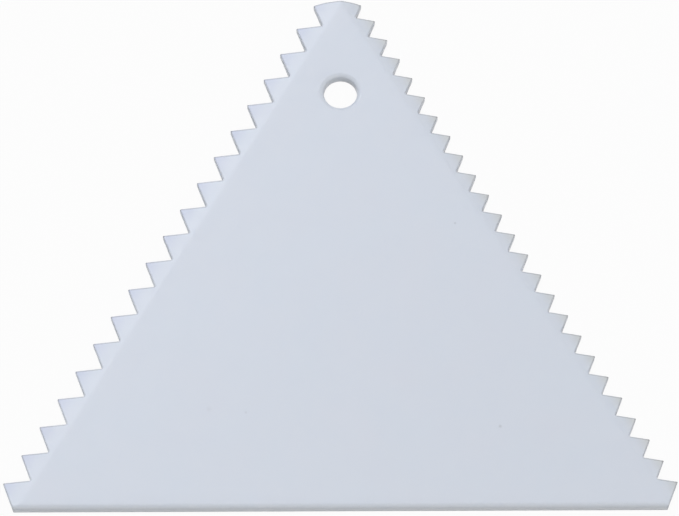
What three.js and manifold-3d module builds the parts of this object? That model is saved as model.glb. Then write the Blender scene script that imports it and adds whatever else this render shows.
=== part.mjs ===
// Triangular cake comb: one moulded plate with a coarse and a fine toothed side, a straight smoothing
// edge and a hanging hole. Millimetres, +Z up. The plate lies on its back with the straight edge
// towards -Y and the apex towards +Y, and the origin is under the middle of its bounding box.
import * as THREE from "three";
import { mergeVertices } from "three/addons/utils/BufferGeometryUtils.js";
import Module from "manifold-3d";

// Plan of the plate
const TIP_SPAN = 110; // between the lower ends of the two lines of tips, about the overall width
const SIDE_ANGLE_DEG = 60; // of each toothed side to the straight edge
const FRONT_MARGIN = 4.35; // straight edge to the lower ends of the lines of tips
const APEX_WIDTH = 8.7; // between the two lines of tips, level with the crest of the apex
const APEX_RADIUS = 13.7; // of the arc that closes the apex and trims the highest teeth

// Section of the plate
const THICKNESS = 2; // flat middle
const TIP_THICKNESS = 1.2; // at the tooth tips, where the bevel ends
const BEVEL_PAST_ROOTS = 0.6; // tooth roots to the crease where the bevel starts
const CREASE_RADIUS = 4; // that eases the crease
const FRONT_ROUND = 0.85; // radius of the upper corner along the straight edge

// Teeth: V teeth whose tips lean up their side, off the middle between the roots
const COARSE_PITCH = 5.6; // left side
const COARSE_DEPTH = 3.85;
const COARSE_LEAN = 0.3;
const FINE_PITCH = 4.22; // right side
const FINE_DEPTH = 2.8;
const FINE_LEAN = 0.1;

// Hanging hole
const HOLE_DIAMETER = 5.7;
const HOLE_FROM_CREST = 17.45; // crest of the apex to the middle of the hole
const HOLE_SHIFT = 0.36; // middle of the hole to the right of the plate's middle line
const HOLE_ROUND = 0.8; // radius of the rim on the upper face

// Fineness of the round stretches, and how far the cutters stand clear of the plate
const APEX_STEPS = 10;
const CREASE_STEPS = 4;
const FRONT_ROUND_STEPS = 8;
const HOLE_SIDES = 48;
const HOLE_ROUND_STEPS = 6;
const CUT_CLEARANCE = 1;
const WELD_DISTANCE = 1e-4;
const SLIVER_SIZE = 0.01; // corners nearer than this after the cuts count as one

// Sizes that follow from the driving dimensions
const sideAngle = THREE.MathUtils.degToRad(SIDE_ANGLE_DEG);
const crestY = FRONT_MARGIN + ((TIP_SPAN - APEX_WIDTH) / 2) * Math.tan(sideAngle);
const apexCentre = new THREE.Vector2(0, crestY - APEX_RADIUS);
const cutLength = 2 * (TIP_SPAN + crestY);

const wasm = await Module();
wasm.setup();

// A closed geometry as a solid that can be cut.
function solidOf(geometry) {
  const bare = new THREE.BufferGeometry();
  bare.setAttribute("position", geometry.getAttribute("position"));
  bare.setIndex(geometry.getIndex());
  const welded = mergeVertices(bare, WELD_DISTANCE);
  const mesh = new wasm.Mesh({
    numProp: 3,
    vertProperties: welded.getAttribute("position").array,
    triVerts: new Uint32Array(welded.getIndex().array),
  });
  return new wasm.Manifold(mesh);
}

// A solid as a geometry that can be drawn, without the slivers that cuts leave where they nearly meet.
function geometryOf(solid) {
  const { vertProperties, triVerts } = solid.getMesh();
  const cut = new THREE.BufferGeometry();
  cut.setAttribute("position", new THREE.BufferAttribute(vertProperties, 3));
  cut.setIndex(new THREE.BufferAttribute(triVerts, 1));
  const geometry = mergeVertices(cut, SLIVER_SIZE);
  const corners = geometry.getIndex().array;
  const kept = [];
  for (let first = 0; first < corners.length; first += 3) {
    const triangle = corners.subarray(first, first + 3);
    if (new Set(triangle).size === 3) {
      kept.push(...triangle);
    }
  }
  geometry.setIndex(kept);
  geometry.computeVertexNormals();
  return geometry;
}

// One toothed side in plan: hand is -1 for the left side and 1 for the right.
function toothedSide(hand, pitch, toothDepth, lean) {
  return {
    along: new THREE.Vector2(-hand * Math.cos(sideAngle), Math.sin(sideAngle)),
    outward: new THREE.Vector2(hand * Math.sin(sideAngle), Math.cos(sideAngle)),
    start: new THREE.Vector2((hand * TIP_SPAN) / 2, FRONT_MARGIN),
    pitch,
    toothDepth,
    lean,
  };
}

// The plan point a distance up a side from its start, and a distance in from its line of tips.
function pointOn(side, up, inward) {
  return side.start.clone().addScaledVector(side.along, up).addScaledVector(side.outward, -inward);
}

// Tip of a tooth, counted up the side from 0, and the root that follows it.
function toothTip(side, tooth) {
  return pointOn(side, tooth * side.pitch + side.lean, 0);
}

function toothRoot(side, tooth) {
  return pointOn(side, (tooth + 0.5) * side.pitch, side.toothDepth);
}

// Whether a plan point lies over the arc that closes the apex.
function overApex(point) {
  const arcRise = Math.sqrt(Math.max(0, APEX_RADIUS ** 2 - point.x ** 2));
  return point.y > apexCentre.y + arcRise;
}

// Where the stretch from a point under the apex arc to a point over it crosses the arc.
function apexCrossing(under, over) {
  const stretch = over.clone().sub(under);
  const fromCentre = under.clone().sub(apexCentre);
  const a = stretch.lengthSq();
  const b = fromCentre.dot(stretch);
  const c = fromCentre.lengthSq() - APEX_RADIUS ** 2;
  return under.clone().addScaledVector(stretch, (Math.sqrt(b * b - a * c) - b) / a);
}

// Tips and roots of a side in turn, from its lowest tip up to the apex arc.
function toothPoints(side) {
  const points = [];
  let next = toothTip(side, 0);
  while (!overApex(next)) {
    points.push(next);
    const tooth = Math.floor(points.length / 2);
    next = points.length % 2 === 0 ? toothTip(side, tooth) : toothRoot(side, tooth);
  }
  points.push(apexCrossing(points.at(-1), next));
  return points;
}

// Where the lowest tooth's outer flank, carried on straight, meets the straight edge.
function frontCorner(side) {
  const tip = toothTip(side, 0);
  const flank = toothRoot(side, -1).sub(tip);
  return tip.clone().addScaledVector(flank, -tip.y / flank.y);
}

// The plate's outline, with the straight edge on the X axis, extruded to its full thickness.
function plateBlank(left, right) {
  const leftTeeth = toothPoints(left);
  const rightTeeth = toothPoints(right);
  const arcStart = rightTeeth.at(-1).clone().sub(apexCentre).angle();
  const arcEnd = leftTeeth.at(-1).clone().sub(apexCentre).angle();

  const outline = new THREE.Shape();
  const leftCorner = frontCorner(left);
  const rightCorner = frontCorner(right);
  outline.moveTo(leftCorner.x, leftCorner.y);
  outline.lineTo(rightCorner.x, rightCorner.y);
  for (const point of rightTeeth) {
    outline.lineTo(point.x, point.y);
  }
  outline.absarc(apexCentre.x, apexCentre.y, APEX_RADIUS, arcStart, arcEnd, false);
  for (const point of leftTeeth.reverse()) {
    outline.lineTo(point.x, point.y);
  }
  outline.closePath();
  return new THREE.ExtrudeGeometry(outline, {
    depth: THICKNESS,
    bevelEnabled: false,
    curveSegments: APEX_STEPS,
  });
}

// A cutter that runs along an edge of the plate. Its profile is drawn across the edge: x outward from
// the plan point that it passes through, y up from the underside.
function edgeCutter(profile, through, outward, curveSegments) {
  const across = new THREE.Vector3(outward.x, outward.y, 0);
  const up = new THREE.Vector3(0, 0, 1);
  const placed = new THREE.Matrix4().makeBasis(across, up, across.clone().cross(up));
  placed.setPosition(through.x, through.y, 0);
  const options = { depth: cutLength, bevelEnabled: false, curveSegments };
  const cutter = new THREE.ExtrudeGeometry(profile, options).translate(0, 0, -cutLength / 2);
  return solidOf(cutter.applyMatrix4(placed));
}

// The slope that thins a toothed side, from the eased crease inside its roots down to its tips.
function bevelCutter(side) {
  const bevelWidth = side.toothDepth + BEVEL_PAST_ROOTS;
  const slope = Math.atan2(THICKNESS - TIP_THICKNESS, bevelWidth);
  const easeX = -bevelWidth - CREASE_RADIUS * Math.tan(slope / 2);
  const easeY = THICKNESS - CREASE_RADIUS;
  const profile = new THREE.Shape();
  profile.moveTo(easeX, THICKNESS + CUT_CLEARANCE);
  profile.absarc(easeX, easeY, CREASE_RADIUS, Math.PI / 2, Math.PI / 2 - slope, true);
  profile.lineTo(CUT_CLEARANCE, TIP_THICKNESS - Math.tan(slope) * CUT_CLEARANCE);
  profile.lineTo(CUT_CLEARANCE, THICKNESS + CUT_CLEARANCE);
  profile.closePath();
  return edgeCutter(profile, side.start, side.outward, CREASE_STEPS / 2);
}

// The corner that the rounded upper edge leaves off the straight edge.
function frontRoundCutter() {
  const profile = new THREE.Shape();
  profile.moveTo(CUT_CLEARANCE, THICKNESS + CUT_CLEARANCE);
  profile.lineTo(-FRONT_ROUND, THICKNESS + CUT_CLEARANCE);
  profile.absarc(-FRONT_ROUND, THICKNESS - FRONT_ROUND, FRONT_ROUND, Math.PI / 2, 0, true);
  profile.lineTo(CUT_CLEARANCE, THICKNESS - FRONT_ROUND);
  profile.closePath();
  return edgeCutter(profile, new THREE.Vector2(0, 0), new THREE.Vector2(0, -1), FRONT_ROUND_STEPS / 2);
}

// The hanging hole, flared by the rounded rim on the upper face.
function holeCutter() {
  const radius = HOLE_DIAMETER / 2;
  const profile = [new THREE.Vector2(0, -CUT_CLEARANCE), new THREE.Vector2(radius, -CUT_CLEARANCE)];
  for (let step = 0; step <= HOLE_ROUND_STEPS; step += 1) {
    const turn = (step / HOLE_ROUND_STEPS) * (Math.PI / 2);
    const out = radius + HOLE_ROUND * (1 - Math.cos(turn));
    profile.push(new THREE.Vector2(out, THICKNESS - HOLE_ROUND * (1 - Math.sin(turn))));
  }
  profile.push(new THREE.Vector2(radius + HOLE_ROUND, THICKNESS + CUT_CLEARANCE));
  profile.push(new THREE.Vector2(0, THICKNESS + CUT_CLEARANCE));
  const cutter = new THREE.LatheGeometry(profile, HOLE_SIDES).rotateX(Math.PI / 2);
  return solidOf(cutter.translate(HOLE_SHIFT, crestY - HOLE_FROM_CREST, 0));
}

const coarseSide = toothedSide(-1, COARSE_PITCH, COARSE_DEPTH, COARSE_LEAN);
const fineSide = toothedSide(1, FINE_PITCH, FINE_DEPTH, FINE_LEAN);
const plateSolid = solidOf(plateBlank(coarseSide, fineSide))
  .subtract(bevelCutter(coarseSide))
  .subtract(bevelCutter(fineSide))
  .subtract(frontRoundCutter())
  .subtract(holeCutter());

const whitePlastic = new THREE.MeshStandardMaterial({
  color: 0xd6dde7,
  roughness: 0.42,
  metalness: 0,
  flatShading: true,
});

const combPlate = new THREE.Mesh(geometryOf(plateSolid), whitePlastic);
combPlate.name = "comb_plate";
combPlate.geometry.computeBoundingBox();
const boxMiddle = combPlate.geometry.boundingBox.getCenter(new THREE.Vector3());
combPlate.position.set(-boxMiddle.x, -boxMiddle.y, 0);

const cakeComb = new THREE.Group();
cakeComb.add(combPlate);

export default cakeComb;
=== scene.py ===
"""Looks of a triangular cake comb: the moulded plate with its broken edges, its satin white plastic,
a white studio and the camera. Metres, in the row frame: +X along the straight edge, +Y to the apex."""

import math

import bmesh
import bpy
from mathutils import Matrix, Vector, geometry
from mathutils.bvhtree import BVHTree
from mathutils.kdtree import KDTree


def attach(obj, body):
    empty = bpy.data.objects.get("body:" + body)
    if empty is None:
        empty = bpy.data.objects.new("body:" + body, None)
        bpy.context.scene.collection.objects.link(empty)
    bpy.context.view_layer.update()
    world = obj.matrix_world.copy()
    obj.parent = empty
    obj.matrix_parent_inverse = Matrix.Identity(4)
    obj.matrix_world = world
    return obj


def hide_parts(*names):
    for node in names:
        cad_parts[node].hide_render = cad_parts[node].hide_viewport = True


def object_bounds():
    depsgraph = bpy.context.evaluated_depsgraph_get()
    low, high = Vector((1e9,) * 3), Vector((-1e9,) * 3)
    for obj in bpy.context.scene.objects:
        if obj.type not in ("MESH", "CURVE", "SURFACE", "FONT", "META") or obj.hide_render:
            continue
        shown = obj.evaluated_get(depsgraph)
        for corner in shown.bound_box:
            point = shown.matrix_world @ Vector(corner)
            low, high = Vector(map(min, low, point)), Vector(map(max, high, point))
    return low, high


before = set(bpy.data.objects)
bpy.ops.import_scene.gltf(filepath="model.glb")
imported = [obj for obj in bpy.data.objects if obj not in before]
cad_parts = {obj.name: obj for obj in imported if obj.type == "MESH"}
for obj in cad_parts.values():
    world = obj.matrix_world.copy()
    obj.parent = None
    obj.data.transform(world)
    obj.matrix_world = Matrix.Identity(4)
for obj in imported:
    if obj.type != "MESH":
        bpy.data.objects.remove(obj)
cad_low, cad_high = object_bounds()

MM = 0.001
DOWN = (0, 0, -1)

# Broken edges and corners of the moulding
EDGE_BREAK = 0.1 * MM
EDGE_BREAK_STEPS = 3
CORNER_RADIUS = 0.15 * MM
CORNER_STEPS = 4
SHARP_DEG = 15.0  # corners that turn less than this in plan stay as they are

# Fineness of the plate's mesh
WELD = 0.001 * MM  # places nearer than this count as one
GUARD = 0.03 * MM  # strip of flat face along a broken edge
OUTLINE_STEP = 0.5 * MM
CREASE_STEP = 0.6 * MM
GRID_STEP = 4.0 * MM
CLEARANCE = 0.3 * MM  # room between the broken edges and the points within the face
APART = 0.1 * MM  # least distance between the points within the face
RAY_LIFT = 0.3 * MM  # height over the plate at which rays down to it start
COPLANAR_DEG = 0.3  # stretches and faces that turn less than this run straight on
FACING = 0.05  # least share of a normal along Z for an upper or a lower face
TRIANGLES_WITHIN = 1  # kind of triangulation that stays within the outermost edges

# Camera, at the photograph's viewing angle
CAMERA_AZIMUTH_DEG = -0.234
CAMERA_ELEVATION_DEG = 67.28
CAMERA_DISTANCE = 534.4 * MM
CAMERA_TARGET = Vector((0.022, -1.405, 0.0)) * MM
CAMERA_LENS_MM = 168.8
CAMERA_SENSOR_MM = 36.0

# Studio: a soft key light from behind on the left, a weaker fill light in front on the right, an even sky
LIGHT_DISTANCE = 1.4
LIGHT_SIZE = 0.9
KEY_AZIMUTH_DEG = 211.0
KEY_ELEVATION_DEG = 54.0
KEY_POWER = 8.8
KEY_COLOUR = (0.85, 0.893, 1.0)
FILL_AZIMUTH_DEG = 40.0
FILL_ELEVATION_DEG = 38.0
FILL_POWER = 4.8
FILL_COLOUR = (1.0, 0.987, 0.957)
SKY_STRENGTH = 0.624
SKY_COLOUR = FILL_COLOUR
WHITE = (1.0, 1.0, 1.0)
WHITE_STRENGTH = 1.0  # strength at which white shows as plain white
FLOOR_SIZE = 6.0
FLOOR_DROP = 0.02 * MM
FLOOR_ALBEDO = 0.42
FLOOR_SHADOW_SHARE = 0.04

# Satin white plastic: two tints that drift into each other, painted shade along edges and where the plate
# thins, and dark specks, which take a share of them away
COOL_TINT = (0.602, 0.646, 0.708)
WARM_TINT = (0.616, 0.642, 0.699)
TINT_DRIFT = 9.0 * MM
SCATTER_WEIGHT = 1.0
SCATTER_COLOUR = WHITE
SCATTER_DEPTH = 0.25 * MM
ROUGHNESS = (0.32, 0.4)
ROUGHNESS_DRIFT = 3.0 * MM
GRAIN_SIZE = 0.25 * MM
GRAIN_HEIGHT = 0.004 * MM
REFRACTION = 1.49
# Painted shade along edges and corners, taken out of the plastic's colour
EDGE_SHADE = 0.87
EDGE_REACH = 0.32 * MM
EDGE_ENCLOSED = (0.4, 1.0)  # shares of plastic around a point, from the full edge shade to none
EDGE_SAMPLES = 4
# Painted shade where the plate thins towards the tips, with a painted cool tint of light on the left side
# and a warm one on the right
LEFT_THIN_SHADE = (0.118, 0.112, 0.034)
RIGHT_THIN_SHADE = (0.053, 0.084, 0.16)
SIDES_MEET = 6.0 * MM  # distance from the middle over which the two sides' shades meet
THIN_HEIGHT = 1.15 * MM  # full thin shade at this height
FULL_HEIGHT = 1.85 * MM  # and none from this height on
WALL_UPWARD = 0.9  # no thin shade where the normal points less up than this
FACE_UPWARD = 0.97  # and all of it where it points up this much

# Specks in the upper face: place, radius and shade
SPECKS = (
    ((19.46 * MM, 4.04 * MM, cad_high.z), 0.3 * MM, 0.22),
    ((26.18 * MM, -32.17 * MM, cad_high.z), 0.42 * MM, 0.2),
    ((-15.44 * MM, -29.6 * MM, cad_high.z), 0.35 * MM, 0.1),
    ((-21.5 * MM, -29.0 * MM, cad_high.z), 0.7 * MM, 0.05),
)


# Nodes

def set_inputs(tree, node, inputs):
    """Sets a node's inputs to values, or links them to outputs of other nodes."""
    for name, value in inputs.items():
        if isinstance(value, bpy.types.NodeSocket):
            tree.links.new(value, node.inputs[name])
        else:
            node.inputs[name].default_value = value


def add_node(tree, kind, inputs, **settings):
    node = tree.nodes.new("ShaderNode" + kind)
    for name, value in settings.items():
        setattr(node, name, value)
    set_inputs(tree, node, inputs)
    return node


def opaque(colour):
    return (*colour, 1.0)


def calculated(tree, operation, first, second, kind="Math"):
    """What an operation makes of two numbers, or of two vectors where the kind is VectorMath."""
    return add_node(tree, kind, {0: first, 1: second}, operation=operation).outputs[0]


def ranged(tree, value, start, end, at_start, at_end):
    """A value eased from at_start to at_end while another goes from start to end."""
    inputs = {"Value": value, "From Min": start, "From Max": end, "To Min": at_start, "To Max": at_end}
    return add_node(tree, "MapRange", inputs, interpolation_type="SMOOTHSTEP").outputs["Result"]


def along(tree, vector, axis):
    return add_node(tree, "SeparateXYZ", {"Vector": vector}).outputs[axis]


def between(tree, share, first, second):
    """A colour that goes over from the first to the second by a share."""
    node = add_node(tree, "ValToRGB", {"Fac": share})
    for element, colour in zip(node.color_ramp.elements, (first, second)):
        element.color = opaque(colour)
    return node.outputs["Color"]


def mixed(tree, share, first, second):
    """A shader that goes over from the first to the second by a share."""
    inputs = {"Fac": share, 1: first.outputs[0], 2: second.outputs[0]}
    return add_node(tree, "MixShader", inputs).outputs[0]


def cloud(tree, place, size):
    """Soft irregular patches of about that size, between 0 and 1."""
    return add_node(tree, "TexNoise", {"Vector": place, "Scale": 1 / size}).outputs["Fac"]


# Camera and studio

def turned(azimuth_deg, elevation_deg):
    """Direction from the object out to a place at that azimuth, 0 being in front, and elevation."""
    azimuth = math.radians(azimuth_deg)
    elevation = math.radians(elevation_deg)
    level = math.cos(elevation)
    return Vector((math.sin(azimuth) * level, -math.cos(azimuth) * level, math.sin(elevation)))


def placed(name, data, location, away=None):
    """A new object in the scene, looking back along away where that is given."""
    made = bpy.data.objects.new(name, data)
    made.location = location
    if away is not None:
        made.rotation_mode = "QUATERNION"
        made.rotation_quaternion = (-away).to_track_quat("-Z", "Y")
    bpy.context.scene.collection.objects.link(made)
    return made


def add_camera():
    away = turned(CAMERA_AZIMUTH_DEG, CAMERA_ELEVATION_DEG)
    data = bpy.data.cameras.new("camera")
    data.sensor_width = CAMERA_SENSOR_MM
    data.lens = CAMERA_LENS_MM
    bpy.context.scene.camera = placed("camera", data, CAMERA_TARGET + away * CAMERA_DISTANCE, away)


def add_light(name, azimuth_deg, elevation_deg, power, colour):
    away = turned(azimuth_deg, elevation_deg)
    data = bpy.data.lights.new(name, "AREA")
    data.shape = "DISK"
    data.size = LIGHT_SIZE
    data.energy = power
    data.color = colour
    placed(name, data, away * LIGHT_DISTANCE, away)


def seen_directly(tree):
    """1 for rays that show a thing itself or its reflection, 0 for rays that carry its light."""
    rays = add_node(tree, "LightPath", {}).outputs
    shown = calculated(tree, "MAXIMUM", rays["Is Camera Ray"], rays["Is Glossy Ray"])
    return calculated(tree, "MAXIMUM", shown, rays["Is Transmission Ray"])


def add_sky():
    """An even sky that lights the object, and shows as plain white."""
    world = bpy.data.worlds.new("studio_sky")
    bpy.context.scene.world = world
    world.use_nodes = True
    tree = world.node_tree
    tree.nodes.clear()
    light = add_node(tree, "Background", {"Color": opaque(SKY_COLOUR), "Strength": SKY_STRENGTH})
    white = add_node(tree, "Background", {"Color": opaque(WHITE), "Strength": WHITE_STRENGTH})
    add_node(tree, "OutputWorld", {"Surface": mixed(tree, seen_directly(tree), light, white)})


def floor_material():
    """White paper that shows as plain white and keeps a share of the object's shadow."""
    material = bpy.data.materials.new("studio_floor")
    material.use_nodes = True
    tree = material.node_tree
    tree.nodes.clear()
    paper = add_node(tree, "BsdfDiffuse", {"Color": opaque([FLOOR_ALBEDO] * 3)})
    white = add_node(tree, "Emission", {"Color": opaque(WHITE), "Strength": WHITE_STRENGTH})
    share = calculated(tree, "MULTIPLY", seen_directly(tree), 1.0 - FLOOR_SHADOW_SHARE)
    add_node(tree, "OutputMaterial", {"Surface": mixed(tree, share, paper, white)})
    return material


def add_floor():
    mesh = bpy.data.meshes.new("floor")
    half = FLOOR_SIZE / 2
    corners = [(-half, -half, 0), (half, -half, 0), (half, half, 0), (-half, half, 0)]
    mesh.from_pydata(corners, [], [(0, 1, 2, 3)])
    mesh.materials.append(floor_material())
    placed("floor", mesh, (0, 0, cad_low.z - FLOOR_DROP))


# Plastic

def edge_shade(tree):
    """Painted shade along edges and corners, where little plastic lies around a point."""
    inputs = {"Distance": EDGE_REACH}
    node = add_node(tree, "AmbientOcclusion", inputs, inside=True, only_local=True, samples=EDGE_SAMPLES)
    return ranged(tree, node.outputs["AO"], *EDGE_ENCLOSED, EDGE_SHADE, 0.0)


def thin_shade(tree, place):
    """Painted shade on the upper face where the plate thins towards the tooth tips, painted cooler on the
    left and warmer on the right as the light from each side.
    """
    thin = ranged(tree, along(tree, place, "Z"), THIN_HEIGHT, FULL_HEIGHT, 1.0, 0.0)
    facing = along(tree, add_node(tree, "NewGeometry", {}).outputs["Normal"], "Z")
    upward = ranged(tree, facing, WALL_UPWARD, FACE_UPWARD, 0.0, 1.0)
    # painted tint of the light from each side: cooler on the left, warmer on the right
    side = ranged(tree, along(tree, place, "X"), -SIDES_MEET, SIDES_MEET, 0.0, 1.0)
    shade = between(tree, side, LEFT_THIN_SHADE, RIGHT_THIN_SHADE)
    return calculated(tree, "MULTIPLY", shade, calculated(tree, "MULTIPLY", thin, upward), "VectorMath")


def speck_shade(tree, place, centre, radius, shade):
    node = add_node(tree, "VectorMath", {0: place, 1: centre}, operation="DISTANCE")
    return ranged(tree, node.outputs["Value"], 0.0, radius, shade, 0.0)


def shaded(tree, colour, shades):
    """A colour with a share of it taken away for each shade."""
    for shade in shades:
        kept = calculated(tree, "SUBTRACT", WHITE, shade, "VectorMath")
        colour = calculated(tree, "MULTIPLY", colour, kept, "VectorMath")
    return colour


def grain(tree, place):
    """A normal that a fine grain tilts."""
    inputs = {"Distance": GRAIN_HEIGHT, "Height": cloud(tree, place, GRAIN_SIZE)}
    return add_node(tree, "Bump", inputs).outputs["Normal"]


def plastic_material():
    material = bpy.data.materials.new("white_plastic")
    material.use_nodes = True
    tree = material.node_tree
    place = add_node(tree, "TexCoord", {}).outputs["Object"]
    # painted shade along the edges and where the plate thins, then the specks' own darkness
    shades = [edge_shade(tree), thin_shade(tree, place)]
    shades.extend(speck_shade(tree, place, *speck) for speck in SPECKS)
    tint = between(tree, cloud(tree, place, TINT_DRIFT), COOL_TINT, WARM_TINT)
    set_inputs(tree, tree.nodes["Principled BSDF"], {
        "Base Color": shaded(tree, tint, shades),
        "Roughness": ranged(tree, cloud(tree, place, ROUGHNESS_DRIFT), 0.0, 1.0, *ROUGHNESS),
        "IOR": REFRACTION,
        "Subsurface Weight": SCATTER_WEIGHT,
        "Subsurface Radius": SCATTER_COLOUR,
        "Subsurface Scale": SCATTER_DEPTH,
        "Normal": grain(tree, place),
    })
    return material


# Plan loops of the plate

def lies_below(face):
    return face.normal.z < -FACING


def plan_loops(solid):
    """Edges of a solid's underside as closed plan loops, each with the material on its right."""
    following = {}
    for face in filter(lies_below, solid.faces):
        for corner in face.loops:
            if not lies_below(corner.link_loop_radial_next.face):
                following[corner.vert] = corner.link_loop_next.vert
    loops = []
    while following:
        vert, after = following.popitem()
        loop = [vert.co.xy]
        while after in following:
            loop.append(after.co.xy)
            after = following.pop(after)
        loops.append(loop)
    return loops


def turns(loop):
    """Each point of a loop with the points before and after it, and the turn at it."""
    for index, point in enumerate(loop):
        before = loop[index - 1]
        after = loop[(index + 1) % len(loop)]
        yield before, point, after, abs((point - before).angle(after - point, 0.0))


def length_round(loop):
    return sum((after - point).length for _, point, after, _ in turns(loop))


def eased_corners(loop):
    """A loop without its collinear points, and with its sharp corners rounded in plan."""
    bent = [point for _, point, _, turn in turns(loop) if turn > math.radians(COPLANAR_DEG)]
    eased = []
    for before, point, after, turn in turns(bent):
        if turn < math.radians(SHARP_DEG):
            eased.append(point)
            continue
        reach = CORNER_RADIUS * math.tan(turn / 2)
        start = point + (before - point).normalized() * reach
        end = point + (after - point).normalized() * reach
        inward = ((start + end) / 2 - point).normalized()
        centre = point + inward * (CORNER_RADIUS / math.cos(turn / 2))
        first = (start - centre).normalized()
        last = (end - centre).normalized()
        for step in range(CORNER_STEPS + 1):
            eased.append(centre + first.slerp(last, step / CORNER_STEPS) * CORNER_RADIUS)
    return eased


def divided(loop):
    """A loop with its long stretches divided."""
    fine = []
    for _, point, after, _ in turns(loop):
        parts = math.ceil((after - point).length / OUTLINE_STEP)
        fine.extend(point.lerp(after, part / parts) for part in range(parts))
    return fine


def inset(loop, distance):
    """A loop moved a distance into the material."""
    moved = []
    for before, point, after, _ in turns(loop):
        first = (point - before).normalized()
        second = (after - point).normalized()
        across = Vector((first.y + second.y, -first.x - second.x))
        moved.append(point + across * (distance / (1 + first.dot(second))))
    return moved


# Plan points within the plate's upper side

def height_over(surface, point):
    """Height of the upper side over a plan point, or None beside the plate."""
    hit = surface.ray_cast((*point, cad_high.z + RAY_LIFT), DOWN)[0]
    return None if hit is None else hit.z


def heights_over(surface, points):
    """Heights of the upper side over plan points, and of the nearest place for those beside the plate."""
    heights = []
    for point in points:
        height = height_over(surface, point)
        if height is None:
            height = surface.find_nearest((*point, cad_high.z))[0].z
        heights.append(height)
    return heights


def crease_points(solid):
    """Plan points along the edges within a solid's upper side, in step where those run parallel."""
    points = []
    for edge in solid.edges:
        upper = all(face.normal.z > FACING for face in edge.link_faces)
        if not upper or edge.calc_face_angle(0.0) < math.radians(COPLANAR_DEG):
            continue
        start, end = sorted((vert.co.xy for vert in edge.verts), key=tuple)
        length = (end - start).length
        if length < CREASE_STEP:
            points.extend((start, end))
            continue
        run = (end - start) / length
        first = start.dot(run)
        marks = range(math.ceil(first / CREASE_STEP), math.floor((first + length) / CREASE_STEP) + 1)
        points.extend(start + run * (mark * CREASE_STEP - first) for mark in marks)
    return points


def grid_points():
    columns = range(math.floor(cad_low.x / GRID_STEP), math.ceil(cad_high.x / GRID_STEP) + 1)
    rows = range(math.floor(cad_low.y / GRID_STEP), math.ceil(cad_high.y / GRID_STEP) + 1)
    return [Vector((column, row)) * GRID_STEP for column in columns for row in rows]


def spread(points):
    """The points without those that nearly repeat one before them."""
    near = KDTree(len(points))
    for index, point in enumerate(points):
        near.insert((*point, 0), index)
    near.balance()
    repeated = set()
    for index, point in enumerate(points):
        if index not in repeated:
            close = near.find_range((*point, 0), APART)
            repeated.update(other for _, other, _ in close if other > index)
    return [point for index, point in enumerate(points) if index not in repeated]


def clear_of(rings, points):
    """The points that keep clear of rings of vertices."""
    near = KDTree(sum(len(ring) for ring in rings))
    for ring in rings:
        for vert in ring:
            near.insert((*vert.co.xy, 0), 0)
    near.balance()
    return [point for point in points if near.find((*point, 0))[2] > CLEARANCE]


def inner_points(solid, surface, rings):
    """Points of the creases and of a grid, over the plate and clear of the rings of its edges."""
    points = spread(crease_points(solid) + grid_points())
    return clear_of(rings, [point for point in points if height_over(surface, point) is not None])


# Plate

def broken_edge():
    """Steps of a broken edge from the wall on: how far into the material, and how far off the face."""
    for step in range(EDGE_BREAK_STEPS + 1):
        turn = math.pi / 2 * step / EDGE_BREAK_STEPS
        yield EDGE_BREAK * (1 - math.cos(turn)), EDGE_BREAK * (1 - math.sin(turn))


def add_ring(work, loop, heights):
    return [work.verts.new((*point, height)) for point, height in zip(loop, heights)]


def edge_rings(work, surface, loop):
    """Rings of vertices along a loop, from the underside over both broken edges to the upper side."""
    within = inset(loop, EDGE_BREAK + GUARD)
    face = heights_over(surface, inset(loop, EDGE_BREAK))
    rings = [add_ring(work, within, [cad_low.z] * len(loop))]
    for into, off in reversed(list(broken_edge())):
        rings.append(add_ring(work, inset(loop, into), [cad_low.z + off] * len(loop)))
    for into, off in broken_edge():
        solid_heights = heights_over(surface, inset(loop, max(into, WELD)))
        lower = [min(own, full - off) for own, full in zip(solid_heights, face)]
        rings.append(add_ring(work, inset(loop, into), lower))
    rings.append(add_ring(work, within, heights_over(surface, within)))
    return rings


def join_rings(work, rings):
    for lower, upper in zip(rings, rings[1:]):
        for index in range(len(lower)):
            work.faces.new((lower[index], lower[index - 1], upper[index - 1], upper[index]))


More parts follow.
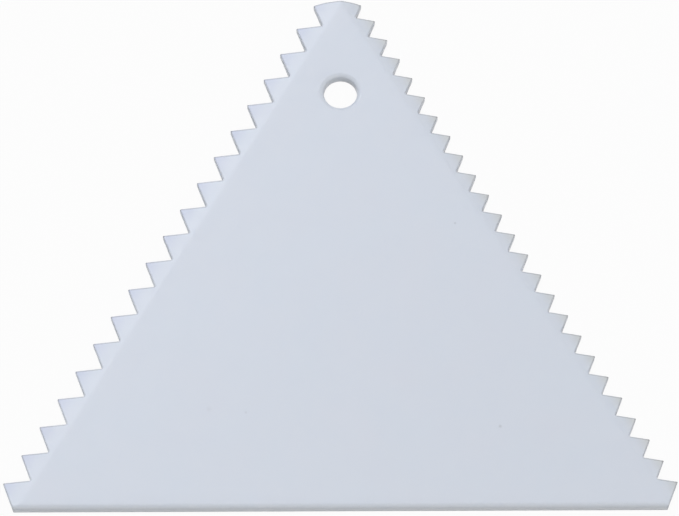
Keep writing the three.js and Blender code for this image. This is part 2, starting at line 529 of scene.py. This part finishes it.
def fill(work, surface, rings, inner, facing_up):
    """Faces between the outline's ring of vertices, the first one, and the holes', through inner points."""
    verts = [vert for ring in rings for vert in ring]
    ring_numbers = [number for number, ring in enumerate(rings) for _ in ring]
    edges = []
    for ring in rings:
        first = len(edges)
        edges.extend((first + index, first + (index + 1) % len(ring)) for index in range(len(ring)))
    plan = [vert.co.xy for vert in verts] + inner
    filled = geometry.delaunay_2d_cdt(plan, edges, [], TRIANGLES_WITHIN, WELD)
    places, _, triangles, origins = filled[:4]
    corners = []
    owners = []
    for place, given in zip(places, origins):
        known = [origin for origin in given if origin < len(verts)]
        if known:
            corners.append(verts[known[0]])
            owners.append(ring_numbers[known[0]])
        else:
            corners.append(work.verts.new((*place, height_over(surface, place))))
            owners.append(None)
    across_holes = [{number} for number in range(1, len(rings))]
    for triangle in triangles:
        if {owners[place] for place in triangle} not in across_holes:
            order = triangle if facing_up else reversed(triangle)
            work.faces.new([corners[place] for place in order])


def plate_mesh(node):
    """The plate remade over its own surface, with every sharp edge and corner broken."""
    solid = bmesh.new()
    solid.from_mesh(node.data)
    bmesh.ops.remove_doubles(solid, verts=solid.verts, dist=WELD)
    surface = BVHTree.FromBMesh(solid)
    work = bmesh.new()
    lowest = []
    highest = []
    for bare in sorted(plan_loops(solid), key=length_round, reverse=True):
        rings = edge_rings(work, surface, divided(eased_corners(bare)))
        join_rings(work, rings)
        lowest.append(rings[0])
        highest.append(rings[-1])
    fill(work, surface, lowest, [], facing_up=False)
    fill(work, surface, highest, inner_points(solid, surface, highest), facing_up=True)
    for face in work.faces:
        face.smooth = True
    mesh = bpy.data.meshes.new("moulded_plate")
    work.to_mesh(mesh)
    work.free()
    solid.free()
    return mesh


def add_plate():
    plate = placed("moulded_plate", plate_mesh(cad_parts["comb_plate"]), (0, 0, 0))
    plate.data.materials.append(plastic_material())
    plate.modifiers.new("even_faces", "WEIGHTED_NORMAL")
    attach(plate, "root")
    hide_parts("comb_plate")


bpy.context.scene.view_settings.view_transform = "Standard"
add_camera()
add_sky()
add_light("key_light", KEY_AZIMUTH_DEG, KEY_ELEVATION_DEG, KEY_POWER, KEY_COLOUR)
add_light("fill_light", FILL_AZIMUTH_DEG, FILL_ELEVATION_DEG, FILL_POWER, FILL_COLOUR)
add_floor()
add_plate()
